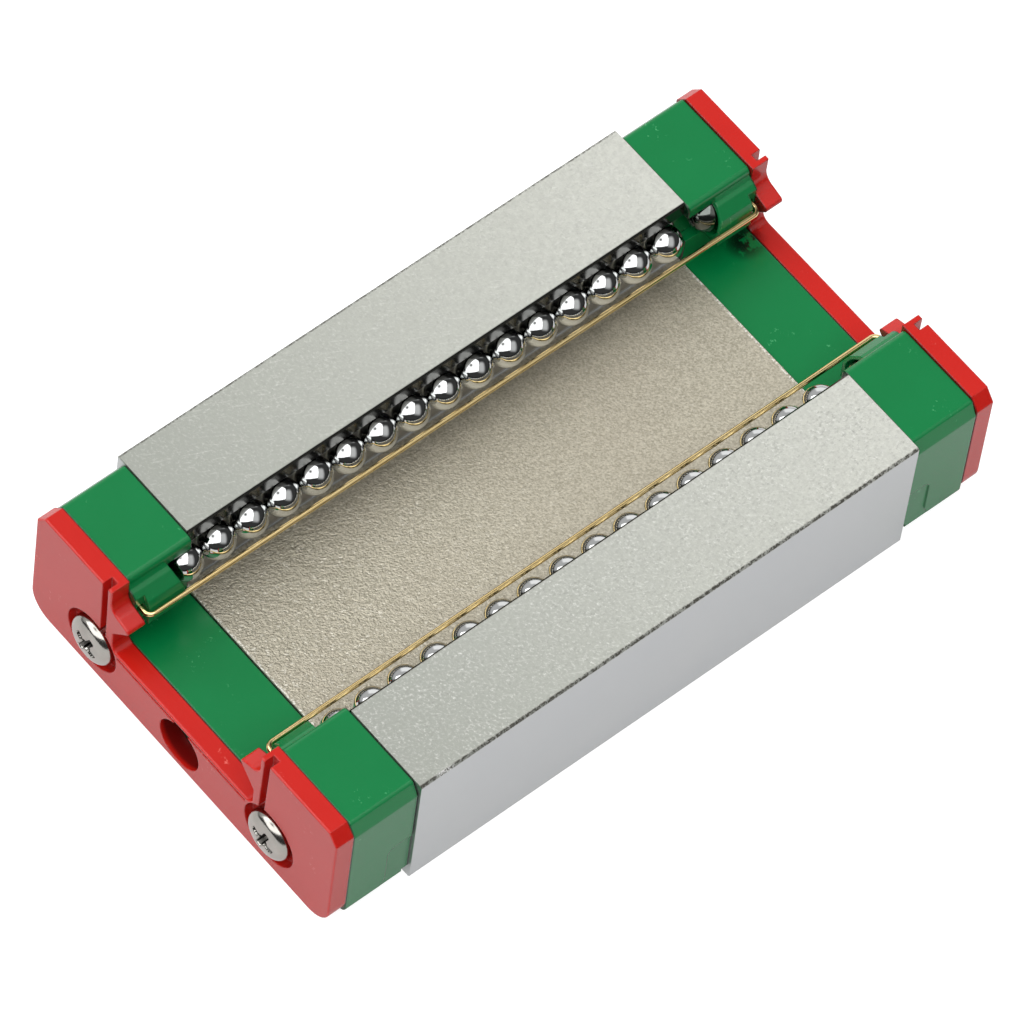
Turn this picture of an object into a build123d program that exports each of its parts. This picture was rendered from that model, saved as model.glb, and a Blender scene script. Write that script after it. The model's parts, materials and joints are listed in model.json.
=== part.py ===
from build123d import *
import math
import os

# Linear guide carriage, size 15, long type. Millimetres.
# Origin: centre of the mounting face. +Y is the direction of travel, +X is
# across the carriage, and +Z points from the mounting face towards the rail.

# Driving dimensions
BLOCK_WIDTH = 32.0
BLOCK_LENGTH = 43.4
BLOCK_HEIGHT = 12.0
RAIL_WIDTH = 15.0
RAIL_GAP = 1.0            # from the rail's side to each of the block's cheeks
CHANNEL_FLOOR_Z = 5.4
EDGE_BREAK = 0.15         # ground chamfer on the block's long edges

MOUNT_PITCH = 25.0        # four M3 mounting holes on a square
MOUNT_TAP_R = 1.25
MOUNT_DEPTH = 4.0
DRILL_POINT = 0.7

BALL_R = 2.778 / 2
BALL_PITCH = 2.80
BALLS_PER_ROW = 16
ROW_X = 8.15              # loaded row
ROW_START_Y = {"left": -22.2, "right": -22.0}
RETURN_START_Y = 22.6
ROW_Z = 9.2
TURN_R = 2.2              # centre line of the end turns
TURN_Y = 22.8             # where each turn begins
TURN_BALL_ARC = (1.0, 4.02)
LOAD_GROOVE_R = 1.45
RETURN_BORE_R = 1.55
TURN_TUBE_R = 1.46

CAP_LENGTH = 5.5
CAP_HALF_WIDTH = 15.8
CAP_BOTTOM = 0.7
CAP_TOP = 11.85
CAP_CHEEK_X = 8.0
CAP_FLOOR_Z = 5.2
CAP_BEVEL_RUN = 0.6       # outer top bevel
CAP_BEVEL_DROP = 1.15
CAP_FOOT_R = 0.6          # roundings of the section's corners
CAP_RIDGE_R = 0.3
CAP_RIM_R = 0.45
CAP_FLOOR_R = 0.3
CAP_EDGE_R = 0.12         # roundings round the cap's two end faces
LATCH_Y = 23.8            # shallow recess on the cap's flank
LATCH_Z = 5.5
LATCH_R = 0.7
LATCH_DEPTH = 0.1
LATCH_BEND_Z = 2.0        # below this the recess's edge leans away from the block
LATCH_LEAN = 1.2
NOTCH_DEPTH = 0.6
NOTCH_LENGTH = 0.55
NOTCH_TOP_Z = 1.3
TONGUE_NOSE_Y = 23.4
TONGUE_FACE_X = 6.5
TONGUE_BOTTOM_Z = 7.5
TONGUE_RIDGE_R = 0.15
TONGUE_RIDGE_X = 7.5
TONGUE_HOLLOW = 0.2       # where the hollow above the ridge bottoms out
TONGUE_ROOT = 0.5         # overlap with the cheek
HOOK_STEP_X = 7.15        # the tongue is cut back this far for the wire's hook
HOOK_GAP = 0.1

INSERT_R = 1.6
INSERT_HALF_HEIGHT = 1.65
INSERT_GAP = 0.03

SEAL_THICKNESS = 1.5
SEAL_HALF_WIDTH = 15.8
SEAL_BOTTOM = 0.3
SEAL_TOP = 12.0
SEAL_FLOOR_Z = 5.2
SEAL_EDGE_R = 0.12
SEAL_CORNER_R = 2.0
SEAL_BEVEL_RUN = 0.8
SEAL_BEVEL_DROP = 1.0
LIP_NECK_X = 7.85
LIP_TIP_X = 5.97
LIP_ROOT_X = 7.45
LIP_ROOT_R = 0.65
SLIT_X = 8.25             # flexing slit beside each lip
SLIT_WIDTH = 0.6
SLIT_DEPTH = 0.8
SLIT_LEAN = 0.15
SLIT_BOTTOM_Z = 5.8
STEP_Z = 4.72             # shadow step under the floor's outer edge
STEP_HEIGHT = 0.26
STEP_DEPTH = 0.2

SCREW_X = 9.4
SCREW_Z = 3.8
SCREW_SHANK_R = 0.98      # M2
SCREW_TAP_R = 1.0
SCREW_CLEAR_R = 1.05
SCREW_LENGTH = 10.0
SCREW_HEAD_R = 2.0
SCREW_HEAD_HEIGHT = 1.45
SCREW_CROWN_R = 0.55
SCREW_TIP_CHAMFER = 0.3
CROSS_ARM = 1.15
CROSS_SLOT = 0.6
CROSS_CORE = 0.9
CROSS_DEPTH = 0.9
CROSS_TAPER = 12
SCREW_SEAT_R = 2.55
SCREW_SEAT_DEPTH = 0.75
SCREW_HOLE_DEPTH = 4.6    # into the block

PORT_Z = 2.8              # grease port
PORT_SEAL_R = 2.05
PORT_TAP_R = 1.25         # M3
PORT_TAP_DEPTH = 3.0
PORT_DUCT_R = 0.6
WAY_Z = 1.95              # shallow grease ways on each cap's inner face
WAY_WIDTH = 0.6
WAY_DEPTH = 0.5

WIRE_R = 0.2
WIRE_X = 6.18
WIRE_BEND_Y = 26.7
WIRE_BEND_R = 0.5
WIRE_END_X = 7.9
HOOK_CLEARANCE = 0.05

# Worked-out places
BLOCK_END = BLOCK_LENGTH / 2
CAP_END = BLOCK_END + CAP_LENGTH
SEAL_END = CAP_END + SEAL_THICKNESS
CHEEK_X = RAIL_WIDTH / 2 + RAIL_GAP
TURN_X = ROW_X + TURN_R
RETURN_X = ROW_X + 2 * TURN_R
SEAT_Y = SEAL_END - SCREW_SEAT_DEPTH
PAST = 1.0                # how far a cutter runs past what it cuts
NEAR = 0.01               # within this, two places are the same


def span(x0, x1, y0, y1, z0, z1):
    """Box between two corners."""
    box = Box(x1 - x0, y1 - y0, z1 - z0, align=(Align.MIN, Align.MIN, Align.MIN))
    return Pos(x0, y0, z0) * box


def rod(radius, x, z, y0, y1):
    """Round bar along Y."""
    bar = Cylinder(radius, y1 - y0, align=(Align.CENTER, Align.CENTER, Align.MIN))
    return Pos(x, y0, z) * Rot(-90, 0, 0) * bar


def prism(outline, y0, y1):
    """Solid from y0 to y1 whose section across the carriage is the outline in x and z."""
    section_plane = Plane(origin=(0, y1, 0), x_dir=(1, 0, 0), z_dir=(0, -1, 0))
    return extrude(section_plane * make_face(outline), amount=y1 - y0)


def both_sides(shape):
    """The shape and its mirror image across the carriage's centre plane."""
    return [shape, mirror(shape, about=Plane.YZ)]


def to_front(shape):
    """The rear end's shape, turned into the front end's."""
    return mirror(shape, about=Plane.XZ)


def make_block():
    half_width = BLOCK_WIDTH / 2
    block = span(-half_width, half_width, -BLOCK_END, BLOCK_END, 0, BLOCK_HEIGHT)
    long_edges = block.edges().filter_by(Axis.Y)
    block = chamfer(long_edges, EDGE_BREAK)
    past_y = BLOCK_END + PAST
    block -= span(-CHEEK_X, CHEEK_X, -past_y, past_y, CHANNEL_FLOOR_Z, BLOCK_HEIGHT + PAST)
    rim = block.edges().filter_by(Axis.Y).filter_by_position(Axis.X, -CHEEK_X, CHEEK_X)
    block = chamfer(rim.filter_by_position(Axis.Z, BLOCK_HEIGHT, BLOCK_HEIGHT), EDGE_BREAK)
    for side in (-1, 1):
        block -= rod(LOAD_GROOVE_R, side * ROW_X, ROW_Z, -past_y, past_y)
        block -= rod(RETURN_BORE_R, side * RETURN_X, ROW_Z, -past_y, past_y)
        for end in (-1, 1):
            block -= mounting_hole(side * MOUNT_PITCH / 2, end * MOUNT_PITCH / 2)
            inner = end * (BLOCK_END - SCREW_HOLE_DEPTH)
            outer = end * past_y
            block -= rod(SCREW_TAP_R, side * SCREW_X, SCREW_Z, min(inner, outer), max(inner, outer))
    return block


def mounting_hole(x, y):
    """Blind hole with a drill point, cut upwards from the mounting face."""
    shaft = Cylinder(MOUNT_TAP_R, MOUNT_DEPTH + PAST, align=(Align.CENTER, Align.CENTER, Align.MIN))
    point = Cone(MOUNT_TAP_R, 0, DRILL_POINT, align=(Align.CENTER, Align.CENTER, Align.MIN))
    return Pos(x, y, -PAST) * shaft + Pos(x, y, MOUNT_DEPTH) * point


def cap_outline():
    """Outline of an end cap's U-shaped section, open towards the rail, with its roundings."""
    right = [
        (CAP_HALF_WIDTH, CAP_BOTTOM),
        (CAP_HALF_WIDTH, CAP_TOP - CAP_BEVEL_DROP),
        (CAP_HALF_WIDTH - CAP_BEVEL_RUN, CAP_TOP),
        (CAP_CHEEK_X, CAP_TOP),
        (CAP_CHEEK_X, CAP_FLOOR_Z),
    ]
    roundings = [CAP_FOOT_R, CAP_RIDGE_R, CAP_RIDGE_R, CAP_RIM_R, CAP_FLOOR_R]
    left = [(-x, z) for x, z in reversed(right)]
    section = make_face(Polyline(*right, *left, close=True))
    for (x, z), radius in zip(right, roundings):
        corners = [v for v in section.vertices() if math.hypot(abs(v.X) - x, v.Y - z) < NEAR]
        section = fillet(corners, radius)
    return section.wire()


def tongue():
    """Scoop on a cap's right cheek that leads the balls out of the rail's groove."""
    root_x = CAP_CHEEK_X + TONGUE_ROOT
    section = Polyline(
        (root_x, 11.2),
        (CAP_CHEEK_X, 11.2),
        (CAP_CHEEK_X - TONGUE_HOLLOW, 10.9),
        (TONGUE_RIDGE_X, 10.78),
        (6.72, 10.0),
        (TONGUE_FACE_X, 9.4),
        (TONGUE_FACE_X, TONGUE_BOTTOM_Z),
        (root_x, TONGUE_BOTTOM_Z),
        close=True,
    )
    bar = prism(section, TONGUE_NOSE_Y, CAP_END)
    nose_lean = Plane(origin=(0, TONGUE_NOSE_Y, ROW_Z), z_dir=(0, 1.6, -0.5))
    bar = split(bar, bisect_by=nose_lean, keep=Keep.TOP)
    upper = bar.edges().filter_by(Axis.Y).filter_by_position(Axis.Z, ROW_Z, CAP_TOP)
    ridges = upper.filter_by_position(Axis.X, TONGUE_FACE_X, TONGUE_RIDGE_X + NEAR)
    bar = fillet(ridges, TONGUE_RIDGE_R)
    hook_y = WIRE_BEND_Y - WIRE_R - HOOK_GAP
    return bar - span(0, HOOK_STEP_X, hook_y, CAP_END + PAST, 0, CAP_TOP)


def turn_tube(radius):
    """Path of the balls round the rear end's right turn, as a bent bar."""
    bend_plane = Plane(origin=(ROW_X, TURN_Y, ROW_Z), x_dir=(1, 0, 0), z_dir=(0, -1, 0))
    profile = bend_plane * Circle(radius)
    ring = revolve(profile, axis=Axis((TURN_X, TURN_Y, ROW_Z), (0, 0, -1)), revolution_arc=180)
    start = BLOCK_END - PAST
    ring += rod(radius, ROW_X, ROW_Z, start, TURN_Y)
    ring += rod(radius, RETURN_X, ROW_Z, start, TURN_Y)
    return ring


def insert_blank(radius, half_height):
    """D-shaped block on the inside of a turn."""
    disc = Pos(TURN_X, TURN_Y, ROW_Z) * Cylinder(radius, 2 * half_height)
    z0 = ROW_Z - half_height
    z1 = ROW_Z + half_height
    disc &= span(TURN_X - radius, TURN_X + radius, TURN_Y, TURN_Y + radius, z0, z1)
    return disc + span(TURN_X - radius, TURN_X + radius, BLOCK_END, TURN_Y, z0, z1)


def make_return_guide():
    """Rear right insert. Its groove is the inner wall of the turn."""
    blank = insert_blank(INSERT_R, INSERT_HALF_HEIGHT)
    return blank - turn_tube(TURN_TUBE_R)


def make_wire():
    """Right retainer wire, hooked into both caps."""
    run = Line((WIRE_X, 0, ROW_Z), (WIRE_X, WIRE_BEND_Y - WIRE_BEND_R, ROW_Z))
    bend = RadiusArc(run @ 1, (WIRE_X + WIRE_BEND_R, WIRE_BEND_Y, ROW_Z), WIRE_BEND_R)
    tail = Line(bend @ 1, (WIRE_END_X, WIRE_BEND_Y, ROW_Z))
    middle = Plane(origin=run @ 0, z_dir=(0, 1, 0))
    half = sweep(middle * Circle(WIRE_R), path=run + bend + tail)
    return half + to_front(half)


def grease_ways():
    """Tapped port, duct and the shallow ways from it to both turns, in the rear cap."""
    inner_y = BLOCK_END - PAST
    cut = rod(PORT_TAP_R, 0, PORT_Z, CAP_END - PORT_TAP_DEPTH, CAP_END + PAST)
    cut += rod(PORT_DUCT_R, 0, PORT_Z, inner_y, CAP_END)
    way_y = BLOCK_END + WAY_DEPTH
    half = WAY_WIDTH / 2
    reach = RETURN_X + half
    cut += span(-reach, reach, inner_y, way_y, WAY_Z - half, WAY_Z + half)
    for side in (-1, 1):
        x = side * RETURN_X
        cut += span(x - half, x + half, inner_y, way_y, WAY_Z - half, ROW_Z - BALL_R)
    return cut


def latch_recess():
    """Shallow moulded recess low on a cap's right flank, with a notch beside the block."""
    near_y = BLOCK_END - PAST
    corner_y = LATCH_Y - LATCH_R
    outline = Polyline((near_y, -PAST), (near_y, LATCH_Z), (corner_y, LATCH_Z))
    outline += RadiusArc((corner_y, LATCH_Z), (LATCH_Y, LATCH_Z - LATCH_R), LATCH_R)
    outline += Polyline((LATCH_Y, LATCH_Z - LATCH_R), (LATCH_Y, LATCH_BEND_Z))
    outline += Polyline((LATCH_Y, LATCH_BEND_Z), (LATCH_Y + LATCH_LEAN, -PAST), (near_y, -PAST))
    flank = Plane(origin=(CAP_HALF_WIDTH - LATCH_DEPTH, 0, 0), x_dir=(0, 1, 0), z_dir=(1, 0, 0))
    recess = extrude(flank * make_face(outline), amount=PAST)
    notch_x = CAP_HALF_WIDTH - NOTCH_DEPTH
    notch_y = BLOCK_END + NOTCH_LENGTH
    return recess + span(notch_x, CAP_HALF_WIDTH + PAST, near_y, notch_y, 0, NOTCH_TOP_Z)


def make_cap():
    """Rear end cap."""
    cap = prism(cap_outline(), BLOCK_END, CAP_END)
    for y in (BLOCK_END, CAP_END):
        cap = fillet(cap.edges().filter_by_position(Axis.Y, y, y), CAP_EDGE_R)
    cap += both_sides(tongue())
    cap -= both_sides(turn_tube(TURN_TUBE_R))
    pocket = insert_blank(INSERT_R + INSERT_GAP, INSERT_HALF_HEIGHT + INSERT_GAP)
    cap -= both_sides(pocket)
    cap -= both_sides(latch_recess())
    hook_length = WIRE_END_X + HOOK_GAP - HOOK_STEP_X + PAST
    hook_bar = Cylinder(WIRE_R + HOOK_CLEARANCE, hook_length, align=(Align.CENTER, Align.CENTER, Align.MIN))
    cap -= both_sides(Pos(HOOK_STEP_X - PAST, WIRE_BEND_Y, ROW_Z) * Rot(0, 90, 0) * hook_bar)
    for side in (-1, 1):
        cap -= rod(SCREW_CLEAR_R, side * SCREW_X, SCREW_Z, BLOCK_END - PAST, CAP_END + PAST)
    return cap - grease_ways()


def seal_outline():
    """Section of an end seal, whose lips follow the rail's sides and grooves."""
    shoulder_x = SEAL_HALF_WIDTH - SEAL_BEVEL_RUN
    bottom = Line((0, SEAL_BOTTOM), (SEAL_HALF_WIDTH - SEAL_CORNER_R, SEAL_BOTTOM))
    corner = RadiusArc(bottom @ 1, (SEAL_HALF_WIDTH, SEAL_BOTTOM + SEAL_CORNER_R), -SEAL_CORNER_R)
    flank = Line(corner @ 1, (SEAL_HALF_WIDTH, SEAL_TOP - SEAL_BEVEL_DROP))
    bevel = Line(flank @ 1, (shoulder_x, SEAL_TOP))
    top = Line(bevel @ 1, (LIP_NECK_X, SEAL_TOP))
    drop = Line(top @ 1, (LIP_NECK_X, 10.75))
    neck = ThreePointArc(drop @ 1, (7.6, 9.95), (6.95, 9.6))
    brow = Line(neck @ 1, (6.2, 9.35))
    tip = ThreePointArc(brow @ 1, (LIP_TIP_X, 9.13), (6.08, 8.82))
    underside = Line(tip @ 1, (LIP_ROOT_X, 7.2))
    wall = Line(underside @ 1, (LIP_ROOT_X, SEAL_FLOOR_Z + LIP_ROOT_R))
    floor_corner = RadiusArc(wall @ 1, (LIP_ROOT_X - LIP_ROOT_R, SEAL_FLOOR_Z), LIP_ROOT_R)
    floor = Line(floor_corner @ 1, (0, SEAL_FLOOR_Z))
    right = [bottom, corner, flank, bevel, top, drop, neck, brow, tip]
    right += [underside, wall, floor_corner, floor]
    left = [mirror(piece, about=Plane.YZ) for piece in right]
    return Wire(Curve() + right + left)


def make_seal():
    """Rear end seal."""
    seal = prism(seal_outline(), CAP_END, SEAL_END)
    seal = fillet(seal.edges().filter_by_position(Axis.Y, SEAL_END, SEAL_END), SEAL_EDGE_R)
    past_y = SEAL_END + PAST
    slit_top = SEAL_TOP + PAST
    slit = Polyline(
        (SLIT_X, slit_top),
        (SLIT_X + SLIT_WIDTH, slit_top),
        (SLIT_X + SLIT_WIDTH - SLIT_LEAN, SLIT_BOTTOM_Z),
        (SLIT_X - SLIT_LEAN, SLIT_BOTTOM_Z),
        close=True,
    )
    seal -= both_sides(prism(slit, SEAL_END - SLIT_DEPTH, past_y))
    step_x = LIP_ROOT_X - LIP_ROOT_R
    seal -= span(-step_x, step_x, SEAL_END - STEP_DEPTH, past_y, STEP_Z, STEP_Z + STEP_HEIGHT)
    for side in (-1, 1):
        seal -= rod(SCREW_SEAT_R, side * SCREW_X, SCREW_Z, SEAT_Y, past_y)
        seal -= rod(SCREW_CLEAR_R, side * SCREW_X, SCREW_Z, CAP_END - PAST, past_y)
    return seal - rod(PORT_SEAL_R, 0, PORT_Z, CAP_END - PAST, past_y)


def make_screw():
    """Rear right pan-head screw with a cross recess."""
    face_y = SEAT_Y + SCREW_HEAD_HEIGHT
    head = rod(SCREW_HEAD_R, SCREW_X, SCREW_Z, SEAT_Y, face_y)
    head = fillet(head.faces().sort_by(Axis.Y)[-1].edges(), SCREW_CROWN_R)
    shank = rod(SCREW_SHANK_R, SCREW_X, SCREW_Z, SEAT_Y - SCREW_LENGTH, SEAT_Y)
    shank = chamfer(shank.faces().sort_by(Axis.Y)[0].edges(), SCREW_TIP_CHAMFER)
    return head + shank - Pos(SCREW_X, face_y, SCREW_Z) * cross_recess()


def cross_recess():
    """Tapered cross, cut into a head that faces +Y."""
    face = Plane(origin=(0, 0, 0), x_dir=(1, 0, 0), z_dir=(0, 1, 0))
    cross = Rectangle(2 * CROSS_ARM, CROSS_SLOT) + Rectangle(CROSS_SLOT, 2 * CROSS_ARM)
    cross += Rot(0, 0, 45) * Rectangle(CROSS_CORE, CROSS_CORE)
    return extrude(face * cross, amount=-CROSS_DEPTH, taper=CROSS_TAPER)


def ball(x, y):
    """One ball at the height of the rows."""
    return Pos(x, y, ROW_Z) * Sphere(BALL_R)


def turn_balls(end, upstream_x, downstream_x):
    """The two balls in one turn, at arc lengths from where they enter it."""
    toward_return = 1 if downstream_x > upstream_x else -1
    balls = []
    for arc in TURN_BALL_ARC:
        angle = arc / TURN_R
        x = TURN_X - toward_return * TURN_R * math.cos(angle)
        y = end * (TURN_Y + TURN_R * math.sin(angle))
        balls.append(ball(x, y))
    return Compound(children=balls)


def make_parts():
    """Every node, by name."""
    cap = make_cap()
    seal = make_seal()
    guide = make_return_guide()
    screw = make_screw()
    parts = {
        "block": make_block(),
        "rear_end_cap": cap,
        "front_end_cap": to_front(cap),
        "rear_end_seal": seal,
        "front_end_seal": to_front(seal),
    }
    right_wire = make_wire()
    ends = {"rear": lambda shape: shape, "front": to_front}
    sides = {"right": lambda shape: shape, "left": lambda shape: mirror(shape, about=Plane.YZ)}
    rear_turn = turn_balls(1, ROW_X, RETURN_X)
    front_turn = turn_balls(-1, RETURN_X, ROW_X)
    turns = {"rear": rear_turn, "front": front_turn}
    steps = [BALL_PITCH * i for i in range(BALLS_PER_ROW)]
    return_row = Compound(children=[ball(RETURN_X, RETURN_START_Y - step) for step in steps])
    for side, on_side in sides.items():
        parts[f"{side}_retainer_wire"] = on_side(right_wire)
        parts[f"{side}_return_balls"] = on_side(return_row)
        for number, step in enumerate(steps, start=1):
            parts[f"{side}_load_ball_{number:02d}"] = on_side(ball(ROW_X, ROW_START_Y[side] + step))
        for end, on_end in ends.items():
            parts[f"{end}_{side}_return_guide"] = on_side(on_end(guide))
            parts[f"{end}_{side}_end_screw"] = on_side(on_end(screw))
            parts[f"{end}_{side}_turn_balls"] = on_side(turns[end])
    return parts


os.makedirs("parts", exist_ok=True)
for name, shape in make_parts().items():
    export_step(shape, f"parts/{name}.step")
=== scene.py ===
import bmesh
import bpy
import json
import math
from mathutils import Matrix, Vector


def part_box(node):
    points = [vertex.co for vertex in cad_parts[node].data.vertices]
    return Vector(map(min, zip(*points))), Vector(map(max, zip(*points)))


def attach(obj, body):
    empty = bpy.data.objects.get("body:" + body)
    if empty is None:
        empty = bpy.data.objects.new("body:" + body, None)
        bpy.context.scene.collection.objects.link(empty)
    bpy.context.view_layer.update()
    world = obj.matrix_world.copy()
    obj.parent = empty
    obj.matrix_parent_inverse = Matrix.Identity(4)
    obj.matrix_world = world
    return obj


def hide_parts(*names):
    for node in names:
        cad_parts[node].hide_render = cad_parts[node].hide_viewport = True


# Linear guide carriage: looks, light and camera. Metres, in the CAD model's frame.

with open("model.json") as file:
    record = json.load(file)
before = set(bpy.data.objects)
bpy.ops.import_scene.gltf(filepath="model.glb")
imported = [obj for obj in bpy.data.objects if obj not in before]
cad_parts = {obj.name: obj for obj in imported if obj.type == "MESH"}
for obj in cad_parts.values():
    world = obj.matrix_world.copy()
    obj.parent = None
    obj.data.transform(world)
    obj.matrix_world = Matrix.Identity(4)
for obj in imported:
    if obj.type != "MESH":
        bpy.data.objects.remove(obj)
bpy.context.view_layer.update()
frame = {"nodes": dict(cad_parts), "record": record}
nodes = frame["nodes"]
MM = 0.001
mounts = {mount["name"]: mount for mount in frame["record"]["mounts"]}
PORT = tuple(Vector(mounts["front_grease_port"]["pos_m"]) / MM)

# Places on the part in mm, as the materials use them. The part is the same at both ends.
block_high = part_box("block")[1]
HALF_WIDTH, BLOCK_END, TOP = tuple(block_high / MM)
CHANNEL_FLOOR = 5.4
CHANNEL_WALL = 8.5
CAP_FACE = abs(PORT[1])
PORT_WINDOW = 2.05
GRINDING = 0.93  # direction of the channel floor's grain, radians


def linear(red, green, blue):
    """Linear colour from 0-255 display values."""
    channels = []
    for value in (red, green, blue):
        c = value / 255
        channels.append(c / 12.92 if c <= 0.04045 else ((c + 0.055) / 1.055) ** 2.4)
    return (*channels, 1.0)


class Graph:
    """One node material, with short calls for the nodes that it is made of."""

    def __init__(self, name, **settings):
        self.material = bpy.data.materials.new(name)
        self.material.use_nodes = True
        self.tree = self.material.node_tree
        self.shader = self.tree.nodes["Principled BSDF"]
        for socket, value in settings.items():
            self.shader.inputs[socket.replace("_", " ")].default_value = value
        coords = self.tree.nodes.new("ShaderNodeTexCoord")
        self.mm = self.vector("SCALE", coords.outputs["Object"], scale=1 / MM)
        self.x, self.y, self.z = self.split(self.mm)
        geometry = self.tree.nodes.new("ShaderNodeNewGeometry")
        normal = self.tree.nodes.new("ShaderNodeVectorTransform")
        normal.vector_type = "NORMAL"
        normal.convert_from, normal.convert_to = "WORLD", "OBJECT"
        self.put(geometry.outputs["True Normal"], normal.inputs[0])
        self.ny = self.split(normal.outputs[0])[1]

    def put(self, value, socket):
        """Links a socket, or sets a plain value."""
        if isinstance(value, bpy.types.NodeSocket):
            self.tree.links.new(value, socket)
        else:
            socket.default_value = value

    def vector(self, operation, first, second=None, scale=None):
        node = self.tree.nodes.new("ShaderNodeVectorMath")
        node.operation = operation
        self.put(first, node.inputs[0])
        if second is not None:
            self.put(second, node.inputs[1])
        if scale is not None:
            self.put(scale, node.inputs["Scale"])
        return node.outputs["Value"] if operation in ("LENGTH", "DISTANCE") else node.outputs[0]

    def split(self, vector):
        node = self.tree.nodes.new("ShaderNodeSeparateXYZ")
        self.put(vector, node.inputs[0])
        return node.outputs

    def math(self, operation, first, second=0.0):
        node = self.tree.nodes.new("ShaderNodeMath")
        node.operation = operation
        self.put(first, node.inputs[0])
        self.put(second, node.inputs[1])
        return node.outputs[0]

    def step(self, value, low, high, bottom=0.0, top=1.0):
        """Smooth step from bottom to top as value goes from low to high."""
        node = self.tree.nodes.new("ShaderNodeMapRange")
        node.interpolation_type = "SMOOTHSTEP"
        self.put(value, node.inputs["Value"])
        settings = (("From Min", low), ("From Max", high), ("To Min", bottom), ("To Max", top))
        for name, number in settings:
            node.inputs[name].default_value = number
        return node.outputs[0]

    def band(self, value, low, high, soft):
        """1 between low and high, and 0 outside, with soft edges."""
        rise = self.step(value, low - soft, low + soft)
        fall = self.step(value, high - soft, high + soft, 1.0, 0.0)
        return self.math("MULTIPLY", rise, fall)

    def noise(self, size, detail=2.0, rough=0.5, stretch=(1, 1, 1), turn=0.0, shift=0.0):
        """Noise of about that grain size in mm, longer where stretch is larger."""
        mapping = self.tree.nodes.new("ShaderNodeMapping")
        mapping.vector_type = "TEXTURE"
        mapping.inputs["Rotation"].default_value = (0, 0, turn)
        mapping.inputs["Scale"].default_value = stretch
        mapping.inputs["Location"].default_value = (shift, shift * 1.7, shift * 0.6)
        self.put(self.mm, mapping.inputs["Vector"])
        node = self.tree.nodes.new("ShaderNodeTexNoise")
        node.inputs["Scale"].default_value = 1 / size
        node.inputs["Detail"].default_value = detail
        node.inputs["Roughness"].default_value = rough
        self.put(mapping.outputs[0], node.inputs["Vector"])
        return node.outputs[0]

    def mix(self, amount, first, second):
        """Mix of two colours."""
        node = self.tree.nodes.new("ShaderNodeMix")
        node.data_type = "RGBA"
        self.put(amount, node.inputs["Factor"])
        self.put(first, node.inputs[6])
        self.put(second, node.inputs[7])
        return node.outputs[2]

    def blend(self, amount, first, second):
        """Plain mix of two numbers."""
        node = self.tree.nodes.new("ShaderNodeMix")
        self.put(amount, node.inputs[0])
        self.put(first, node.inputs[2])
        self.put(second, node.inputs[3])
        return node.outputs[0]

    def bump(self, height, depth, normal=None):
        """Bump from a height of 0-1 that is that many mm deep."""
        node = self.tree.nodes.new("ShaderNodeBump")
        node.inputs["Strength"].default_value = 1.0
        node.inputs["Distance"].default_value = depth * MM
        self.put(height, node.inputs["Height"])
        if normal is not None:
            self.put(normal, node.inputs["Normal"])
        return node.outputs[0]

    def finish(self, **sockets):
        """Sets the shader's sockets, and returns the material."""
        for name, value in sockets.items():
            self.put(value, self.shader.inputs[name.replace("_", " ")])
        return self.material


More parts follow.
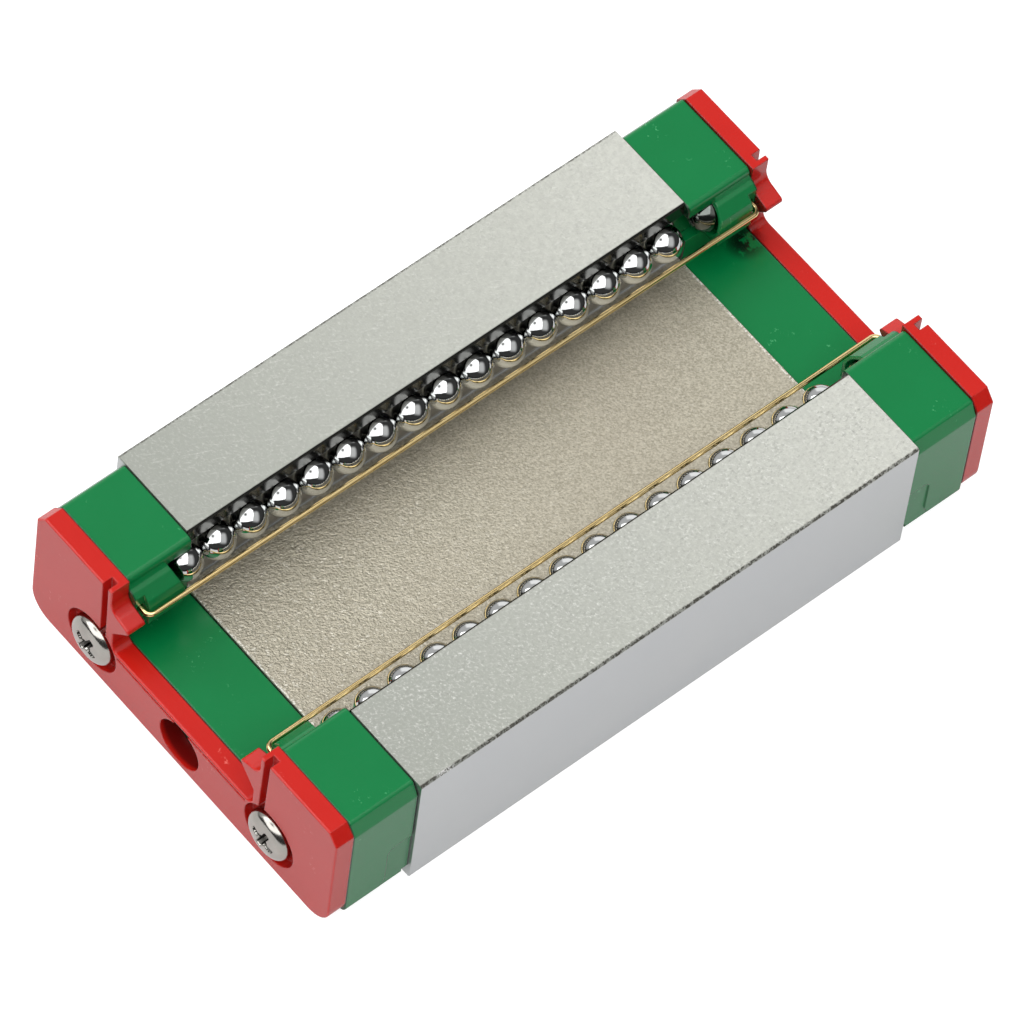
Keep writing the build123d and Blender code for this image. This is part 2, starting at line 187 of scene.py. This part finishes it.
def ground_steel():
    """The block: ground tops and sides, a grained channel floor and polished inner walls."""
    g = Graph("ground_steel", Metallic=1.0)
    wide = g.math("ABSOLUTE", g.x)
    end = g.math("ABSOLUTE", g.y)
    top = g.step(g.z, TOP - 0.3, TOP - 0.1)
    floor = g.band(g.z, CHANNEL_FLOOR - 0.2, CHANNEL_FLOOR + 0.2, 0.05)
    floor = g.math("MULTIPLY", floor, g.step(wide, CHANNEL_WALL - 0.2, CHANNEL_WALL, 1.0, 0.0))
    inner = g.step(wide, CHANNEL_WALL + 0.1, CHANNEL_WALL + 0.2, 1.0, 0.0)
    inner = g.math("MULTIPLY", inner, g.step(g.z, CHANNEL_FLOOR + 0.1, CHANNEL_FLOOR + 0.4))
    edge = HALF_WIDTH + TOP
    corner = g.step(g.math("ADD", wide, g.z), edge - 0.25, edge - 0.14)

    fine = g.noise(0.14, 3.0, 0.65)
    coarse = g.noise(0.45, 3.0, 0.65)
    cloud = g.noise(7.0, 3.0, 0.5)
    grain = g.noise(0.13, 2.0, 0.6, stretch=(1.2, 1, 1), turn=GRINDING)
    lumps = g.noise(0.36, 2.0, 0.6, stretch=(1.15, 1, 1), turn=GRINDING, shift=9)
    # painted glints: bright specks on the channel floor, fewer towards the rear
    painted_glint = g.noise(0.16, 1.0, 0.5, stretch=(1.5, 1, 1), turn=GRINDING, shift=3)
    painted_glint = g.step(painted_glint, 0.64, 0.7)
    fleck = g.step(g.noise(0.2, 3.0, 0.75, stretch=(1.4, 1, 1), turn=0.4), 0.48, 0.74)
    pit = g.step(g.noise(0.24, 3.0, 0.75, stretch=(1.3, 1, 1), turn=1.7, shift=30), 0.46, 0.74)
    scratch = g.step(g.noise(0.16, 1.0, 0.5, stretch=(9, 1, 1), turn=1.1, shift=17), 0.66, 0.72)

    # painted light: the tops are painted lighter along the travel as a lighting gradient, and the
    # right one is busier
    along = g.math("ADD", g.math("MULTIPLY", g.y, 1 / 44), 0.5)
    top_color = g.mix(along, linear(175, 178, 170), linear(219, 220, 212))
    top_color = g.mix(g.step(coarse, 0.3, 0.7, 0.24, 0.0), top_color, linear(172, 173, 167))
    patches = g.step(g.noise(1.6, 2.0, 0.6), 0.35, 0.65, 0.5, 1.0)
    busy = g.math("MULTIPLY", g.step(g.x, -1.0, 1.0, 0.4, 0.75), patches)
    top_color = g.mix(g.math("MULTIPLY", fleck, busy), top_color, linear(244, 244, 240))
    top_color = g.mix(g.math("MULTIPLY", pit, busy), top_color, linear(166, 167, 160))
    top_color = g.mix(g.math("MULTIPLY", scratch, 0.14), top_color, linear(246, 246, 242))
    floor_color = g.mix(g.step(grain, 0.3, 0.7), linear(170, 165, 148), linear(210, 205, 188))
    floor_color = g.mix(g.math("MULTIPLY", cloud, 0.3), floor_color, linear(188, 176, 160))
    painted_glint = g.math("MULTIPLY", painted_glint, g.step(g.y, -22.0, 8.0, 0.55, 0.15))
    floor_color = g.mix(painted_glint, floor_color, linear(250, 247, 236))
    # painted highlight: a bright ragged line along the ends of the channel floor
    painted_rim_highlight = g.step(end, BLOCK_END - 0.25, BLOCK_END - 0.1)
    painted_rim_highlight = g.math("MULTIPLY", painted_rim_highlight, g.step(fine, 0.45, 0.6))
    floor_color = g.mix(painted_rim_highlight, floor_color, linear(246, 244, 236))
    side_color = g.mix(cloud, linear(200, 202, 204), linear(207, 208, 208))
    # painted shade: the inner walls are painted dark above the ball rows, where they lie in shade
    # behind the balls, and light below
    inner_color = g.mix(g.step(g.z, 8.4, 9.8), linear(182, 180, 178), linear(66, 66, 62))
    inner_color = g.mix(g.math("MULTIPLY", coarse, 0.2), inner_color, linear(112, 112, 108))

    color = g.mix(top, side_color, top_color)
    color = g.mix(floor, color, floor_color)
    color = g.mix(inner, color, inner_color)

    # a ragged dark line along the outer edges, and a painted highlight on one burr near the front
    ragged = g.step(g.noise(0.26, 3.0, 0.75, shift=21), 0.42, 0.56, 0.1, 1.0)
    color = g.mix(g.math("MULTIPLY", corner, ragged), color, linear(104, 102, 95))
    burr_highlight = g.vector("DISTANCE", g.mm, (HALF_WIDTH - 0.05, -19.6, TOP))
    burr_highlight = g.step(burr_highlight, 0.4, 1.0, 1.0, 0.0)
    burr_highlight = g.math("MULTIPLY", g.math("MULTIPLY", burr_highlight, corner), g.step(fine, 0.45, 0.55))
    color = g.mix(burr_highlight, color, linear(250, 250, 248))

    roughness = g.blend(top, g.blend(fine, 0.3, 0.36), g.blend(coarse, 0.54, 0.62))
    roughness = g.blend(floor, roughness, g.blend(grain, 0.5, 0.62))
    roughness = g.blend(inner, roughness, g.step(g.z, 8.2, 9.4, 0.5, 0.16))
    worn = g.step(g.y, -22.0, 8.0, 12.0, 2.5)
    height = g.math("MULTIPLY", g.blend(0.5, fine, coarse), g.blend(top, 0.12, 1.0))
    height = g.blend(floor, height, g.math("MULTIPLY", g.blend(0.5, grain, lumps), worn))
    height = g.blend(inner, height, 0.0)
    bump = g.bump(height, 0.014)
    return g.finish(Base_Color=color, Roughness=roughness, Normal=bump)


def plastic(name, dark, light, scuff, grime_and_shade):
    """Moulded plastic: faint mottle, rounded edges, a few light scuffs, dark seams, a darker patch
    on the rear cap's floor, and painted shade in the port bore and on the end faces.
    """
    g = Graph(name, IOR=1.5)
    cloud = g.noise(4.0, 3.0, 0.5)
    fine = g.noise(0.18, 3.0, 0.6)
    color = g.mix(cloud, dark, light)
    marks = g.step(g.noise(0.4, 4.0, 0.7, shift=11), 0.6, 0.68)
    place = g.step(g.noise(2.6, 1.0, 0.5, shift=5), 0.6, 0.7)
    spot = g.vector("DISTANCE", g.mm, (-3.5, -25.0, 5.2))  # a scuffed patch on the front cap
    place = g.math("MAXIMUM", place, g.step(spot, 0.6, 1.5, 1.0, 0.0))
    color = g.mix(g.math("MULTIPLY", g.math("MULTIPLY", marks, place), 0.6), color, scuff)
    end = g.math("ABSOLUTE", g.y)
    seam = g.step(end, BLOCK_END + 0.06, BLOCK_END + 0.16, 1.0, 0.0)
    seam = g.math("MULTIPLY", seam, g.step(fine, 0.3, 0.5, 0.6, 1.0))
    joint = g.math("MULTIPLY", g.band(end, CAP_FACE - 0.1, CAP_FACE + 0.06, 0.04), 0.7)
    color = g.mix(g.math("MAXIMUM", seam, joint), color, grime_and_shade)
    # a darker patch on the rear cap's floor
    dark_patch = g.vector("DISTANCE", g.mm, (-6.7, 26.3, CHANNEL_FLOOR))
    dark_patch = g.step(dark_patch, 0.5, 1.9, 1.0, 0.0)
    dark_patch = g.math("MULTIPLY", dark_patch, g.step(g.noise(0.6, 2.0, 0.6, shift=4), 0.4, 0.55))
    # painted shade inside the grease port's bore
    from_port = g.vector("MULTIPLY", g.vector("SUBTRACT", g.mm, PORT), (1, 0, 1))
    from_port = g.vector("LENGTH", from_port)
    bore_shade = g.step(from_port, PORT_WINDOW + 0.01, PORT_WINDOW + 0.04, 1.0, 0.0)
    bore_shade = g.math("MULTIPLY", bore_shade, g.step(end, CAP_FACE + 1.0, CAP_FACE + 1.4, 1.0, 0.0))
    color = g.mix(g.math("MAXIMUM", dark_patch, g.math("MULTIPLY", bore_shade, 0.85)), color, grime_and_shade)
    # painted shade: faces that look along the travel are painted darker
    end_face_shade = g.math("MULTIPLY", g.step(g.math("ABSOLUTE", g.ny), 0.9, 0.99), 0.24)
    color = g.mix(end_face_shade, color, grime_and_shade)
    roughness = g.blend(fine, 0.19, 0.27)
    rounded = g.tree.nodes.new("ShaderNodeBevel")
    rounded.samples = 6
    rounded.inputs["Radius"].default_value = 0.14 * MM
    normal = g.bump(fine, 0.004, normal=rounded.outputs[0])
    return g.finish(Base_Color=color, Roughness=roughness, Normal=normal)


def plain_metal(name, dark, light, low, high, relief=0.002):
    """Smooth metal with a faint mottle and fine roughness."""
    g = Graph(name, Metallic=1.0)
    fine = g.noise(0.12, 3.0, 0.6)
    cloud = g.noise(1.4, 2.0, 0.5)
    color = g.mix(cloud, dark, light)
    roughness = g.blend(fine, low, high)
    return g.finish(Base_Color=color, Roughness=roughness, Normal=g.bump(fine, relief))


materials = {
    "ground_steel": ground_steel(),
    "cap_plastic": plastic(
        "cap_plastic",
        linear(0, 115, 58), linear(3, 123, 65), linear(90, 190, 130), linear(6, 40, 22),
    ),
    "seal_plastic": plastic(
        "seal_plastic",
        linear(190, 24, 16), linear(201, 32, 23), linear(250, 130, 120), linear(90, 8, 10),
    ),
    "guide_plastic": plastic(
        "guide_plastic",
        linear(0, 106, 52), linear(4, 114, 58), linear(60, 160, 100), linear(6, 40, 22),
    ),
    "screw_steel": plain_metal(
        "screw_steel", linear(158, 156, 150), linear(194, 191, 184), 0.12, 0.24
    ),
    # painted shade: a darker copy of the screw steel for the faces inside the cross recess
    "recess_steel": plain_metal(
        "recess_steel", linear(46, 45, 43), linear(96, 94, 90), 0.2, 0.34
    ),
    "wire_brass": plain_metal(
        "wire_brass", linear(226, 194, 128), linear(246, 224, 170), 0.1, 0.16, relief=0.0001
    ),
    "ball_steel": plain_metal(
        "ball_steel", linear(200, 202, 202), linear(214, 215, 214), 0.02, 0.05
    ),
}
for part in frame["record"]["subparts"]:
    for slot in nodes[part["node"]].material_slots:
        slot.material = materials[part["material_slot"]]
# painted shade: the turn balls, which lie in shade under the end caps, get a darker steel
shaded_turn_steel = plain_metal(
    "shaded_turn_ball_steel", linear(84, 90, 86), linear(128, 130, 126), 0.08, 0.16
)
for end in ("front", "rear"):
    for side in ("left", "right"):
        nodes[end + "_" + side + "_turn_balls"].material_slots[0].material = shaded_turn_steel


def smooth(value, low, high):
    """Smooth step from 0 to 1 as value goes from low to high."""
    t = min(max((value - low) / (high - low), 0.0), 1.0)
    return t * t * (3 - 2 * t)


RECESS = 0.8  # depth of the screws' recess, mm
HEAD = 1.45  # from the head's seat to its outermost point, mm
HEAD_RADIUS = 2.0


def recess_depth(u, v):
    """Depth in mm of a cross recess at a point of the head's face."""
    depth = RECESS * (1 - smooth(math.hypot(u, v), 0.2, 0.58))
    for along, across in ((abs(u), abs(v)), (abs(v), abs(u))):
        arm = (1 - smooth(along, 0.8, 1.12)) * (1 - smooth(across, 0.16, 0.26))
        depth = max(depth, RECESS * arm)
    return depth


def screw_profile():
    """(radius, distance outwards from the head's seat) in mm, from the tip to the face's centre."""
    profile = [(0.01, -10.0), (0.7, -10.0), (0.86, -9.8)]
    pitch, count = 0.4, 22
    for turn in range(count):
        base = -9.7 + pitch * turn
        profile += [(0.8, base), (0.96, base + 0.14), (0.96, base + 0.2), (0.8, base + 0.34)]
    profile += [(0.95, -0.6), (0.95, 0.0), (1.88, 0.0), (1.97, 0.05)]
    profile += [(HEAD_RADIUS, 0.14), (HEAD_RADIUS, 0.55)]
    for i in range(1, 9):
        angle = math.radians(i * 9.5)
        corner = 0.7
        radius = HEAD_RADIUS - corner + corner * math.cos(angle)
        profile.append((radius, 0.55 + corner * math.sin(angle)))
    edge_radius, edge_height = profile[-1]
    rings = 34
    for i in range(1, rings + 1):
        radius = edge_radius * (1 - i / (rings + 1))
        profile.append((radius, edge_height + 0.16 * (1 - (radius / edge_radius) ** 2)))
    return profile


def add_screw(node, turn):
    """Pan-head screw with a rounded head and a cross recess, in place of a CAD screw."""
    low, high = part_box(node)
    outward = 1 if low.y > 0 else -1
    seat = (high.y if outward > 0 else low.y) / MM - outward * HEAD
    x, z = (low.x + high.x) / 2 / MM, (low.z + high.z) / 2 / MM
    segments = 96
    mesh = bmesh.new()
    rings = []
    sinks = []
    for radius, height in screw_profile():
        ring = []
        sinks.append([])
        for i in range(segments):
            angle = 2 * math.pi * i / segments
            u, v = radius * math.cos(angle), radius * math.sin(angle)
            turned = angle + turn
            sunk = 0.0
            if height > 0.6:
                sunk = recess_depth(radius * math.cos(turned), radius * math.sin(turned))
            point = Vector((x + u, seat + outward * (height - sunk), z + v))
            ring.append(mesh.verts.new(point * MM))
            sinks[-1].append(sunk)
        rings.append(ring)
    for number, (lower, upper) in enumerate(zip(rings, rings[1:])):
        for i in range(segments):
            j = (i + 1) % segments
            face = mesh.faces.new((lower[i], lower[j], upper[j], upper[i]))
            # faces deep in the recess get the darker, painted-shade steel
            if max(sinks[number][i], sinks[number + 1][j]) > 0.2:
                face.material_index = 1
    mesh.faces.new(rings[0])
    mesh.faces.new(rings[-1]).material_index = 1
    bmesh.ops.recalc_face_normals(mesh, faces=mesh.faces)
    data = bpy.data.meshes.new(node + "_detail")
    mesh.to_mesh(data)
    mesh.free()
    for polygon in data.polygons:
        polygon.use_smooth = True
    data.materials.append(materials["screw_steel"])
    data.materials.append(materials["recess_steel"])
    screw = bpy.data.objects.new(node + "_detail", data)
    bpy.context.scene.collection.objects.link(screw)
    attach(screw, "carriage_body")
    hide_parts(node)


def add_wire(node):
    """Round spring wire with a hook at each end, in place of a CAD wire."""
    low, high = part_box(node)
    outward = 1 if high.x > 0 else -1
    radius = (high.z - low.z) / 2
    inner, outer = (low.x, high.x) if outward > 0 else (high.x, low.x)
    inner += outward * radius
    height = (low.z + high.z) / 2
    bend = 0.5 * MM
    half = []
    hook_y = high.y - radius
    for i in range(13):
        angle = math.pi / 2 * i / 12
        x = inner + outward * bend * (1 - math.cos(angle))
        half.append((x, hook_y - bend + bend * math.sin(angle)))
    half.append((outer, hook_y))
    line = [(x, -y) for x, y in reversed(half)] + half
    curve = bpy.data.curves.new(node + "_round", "CURVE")
    curve.dimensions = "3D"
    curve.bevel_depth = radius
    curve.bevel_resolution = 10
    curve.use_fill_caps = True
    spline = curve.splines.new("POLY")
    spline.points.add(len(line) - 1)
    for point, (x, y) in zip(spline.points, line):
        point.co = (x, y, height, 1.0)
    spline.use_smooth = True
    curve.materials.append(materials["wire_brass"])
    wire = bpy.data.objects.new(node + "_round", curve)
    bpy.context.scene.collection.objects.link(wire)
    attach(wire, "carriage_body")
    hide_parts(node)


def add_floor():
    """Plain pale paper, which glows a little so that the low sides are lit as in a light tent."""
    mesh = bpy.data.meshes.new("floor")
    half = 3.0
    corners = [(-half, -half, 0), (half, -half, 0), (half, half, 0), (-half, half, 0)]
    mesh.from_pydata(corners, [], [(0, 1, 2, 3)])
    floor = bpy.data.objects.new("floor", mesh)
    bpy.context.scene.collection.objects.link(floor)
    g = Graph("floor_paper", IOR=1.2, Emission_Color=(1.0, 1.0, 1.0, 1.0))
    fine = g.noise(0.6, 3.0, 0.6)
    color = g.mix(fine, linear(176, 176, 177), linear(182, 182, 182))
    path = g.tree.nodes.new("ShaderNodeLightPath")
    glow = g.blend(path.outputs["Is Camera Ray"], 0.36, 0.85)
    mesh.materials.append(g.finish(
        Base_Color=color, Roughness=g.blend(fine, 0.8, 0.9), Emission_Strength=glow
    ))


# Camera: where it stands round the part, and how far from its middle
AZIMUTH, ELEVATION, ROLL = math.radians(42.955), math.radians(58.345), math.radians(8.621)
DISTANCE = 0.7047
AIM = Vector((0, 0, 0.006))
toward = Vector((
    math.sin(AZIMUTH) * math.cos(ELEVATION),
    -math.cos(AZIMUTH) * math.cos(ELEVATION),
    math.sin(ELEVATION),
))
level = Vector((math.cos(AZIMUTH), math.sin(AZIMUTH), 0))
upright = toward.cross(level)
right = level * math.cos(ROLL) + upright * math.sin(ROLL)
up = upright * math.cos(ROLL) - level * math.sin(ROLL)


def add_camera():
    """Long lens, as for a small product."""
    data = bpy.data.cameras.new("camera")
    data.sensor_width = 36.0
    data.lens = 372.5
    data.shift_x = -0.00814
    data.shift_y = -0.00622
    data.clip_start = 0.01
    camera = bpy.data.objects.new("camera", data)
    turned = Matrix((right, up, toward)).transposed().to_4x4()
    camera.matrix_world = Matrix.Translation(AIM + toward * DISTANCE) @ turned
    bpy.context.scene.collection.objects.link(camera)
    bpy.context.scene.camera = camera


def add_light():
    """A large softbox behind the camera, and weaker panels round it, as the world."""
    world = bpy.data.worlds.new("studio")
    world.use_nodes = True
    bpy.context.scene.world = world
    tree = world.node_tree
    background = tree.nodes["Background"]

    def vector(operation, first, second):
        node = tree.nodes.new("ShaderNodeVectorMath")
        node.operation = operation
        tree.links.new(first, node.inputs[0])
        node.inputs[1].default_value = second
        return node.outputs["Value"]

    def maths(operation, first, second):
        node = tree.nodes.new("ShaderNodeMath")
        node.operation = operation
        for value, socket in ((first, node.inputs[0]), (second, node.inputs[1])):
            if isinstance(value, bpy.types.NodeSocket):
                tree.links.new(value, socket)
            else:
                socket.default_value = value
        return node.outputs[0]

    def edge(value, low, high, bottom=0.0, top=1.0):
        node = tree.nodes.new("ShaderNodeMapRange")
        node.interpolation_type = "SMOOTHSTEP"
        tree.links.new(value, node.inputs["Value"])
        settings = (("From Min", low), ("From Max", high), ("To Min", bottom), ("To Max", top))
        for name, number in settings:
            node.inputs[name].default_value = number
        return node.outputs[0]

    def panel(aim, across, low, high, soft):
        """Mask of a rectangular panel square to aim, at one metre."""
        aim = aim.normalized()
        across = (across - aim * across.dot(aim)).normalized()
        along = aim.cross(across)
        depth = vector("DOT_PRODUCT", direction, aim)
        safe = maths("MAXIMUM", depth, 0.001)
        mask = edge(depth, 0.0, 0.02)
        for axis, first, last in ((across, low[0], high[0]), (along, low[1], high[1])):
            place = maths("DIVIDE", vector("DOT_PRODUCT", direction, axis), safe)
            mask = maths("MULTIPLY", mask, edge(place, first - soft, first + soft))
            mask = maths("MULTIPLY", mask, edge(place, last - soft, last + soft, 1.0, 0.0))
        return mask

    coords = tree.nodes.new("ShaderNodeTexCoord")
    direction = coords.outputs["Generated"]
    aim = right * -0.294 + up * 0.196 + toward * 0.92
    softbox = panel(aim, right, (-0.95, -0.62), (0.95, 0.92), 0.05)
    spot = panel(aim, right, (-0.15, 0.0), (0.15, 0.3), 0.14)
    softbox = maths("MULTIPLY", softbox, maths("SUBTRACT", 1.0, spot))
    wall_aim = right * 0.656 + up * 0.094 + toward * 0.749
    wall = panel(wall_aim, up, (-0.45, -0.35), (0.55, 0.35), 0.2)
    far = panel(Vector((-0.65, 0.7, 0.4)), Vector((1, 1, 0)), (-0.5, -0.3), (0.4, 0.3), 0.1)
    left = panel(Vector((-0.8, 0.25, 0.55)), Vector((0, 1, 0)), (-1.2, -0.55), (1.2, 0.55), 0.3)
    sky = edge(vector("DOT_PRODUCT", direction, (0, 0, 1)), -0.1, 0.3)
    strength = maths("MULTIPLY", softbox, 2.4)
    for mask, level_of_light in ((wall, 0.65), (far, 0.6), (left, 0.552), (sky, 0.05)):
        strength = maths("ADD", strength, maths("MULTIPLY", mask, level_of_light))

    # the camera sees plain white behind the floor
    path = tree.nodes.new("ShaderNodeLightPath")
    both = tree.nodes.new("ShaderNodeMix")
    tree.links.new(path.outputs["Is Camera Ray"], both.inputs[0])
    tree.links.new(strength, both.inputs[2])
    both.inputs[3].default_value = 1.0
    tree.links.new(both.outputs[0], background.inputs["Strength"])
    background.inputs["Color"].default_value = (1.0, 1.0, 1.0, 1.0)


for screw_node, screw_turn in (
    ("front_left_end_screw", 0.55), ("front_right_end_screw", 0.35),
    ("rear_left_end_screw", 1.0), ("rear_right_end_screw", 0.1),
):
    add_screw(screw_node, screw_turn)
add_wire("left_retainer_wire")
add_wire("right_retainer_wire")
add_floor()
add_camera()
add_light()
bpy.context.scene.view_settings.view_transform = "Standard"
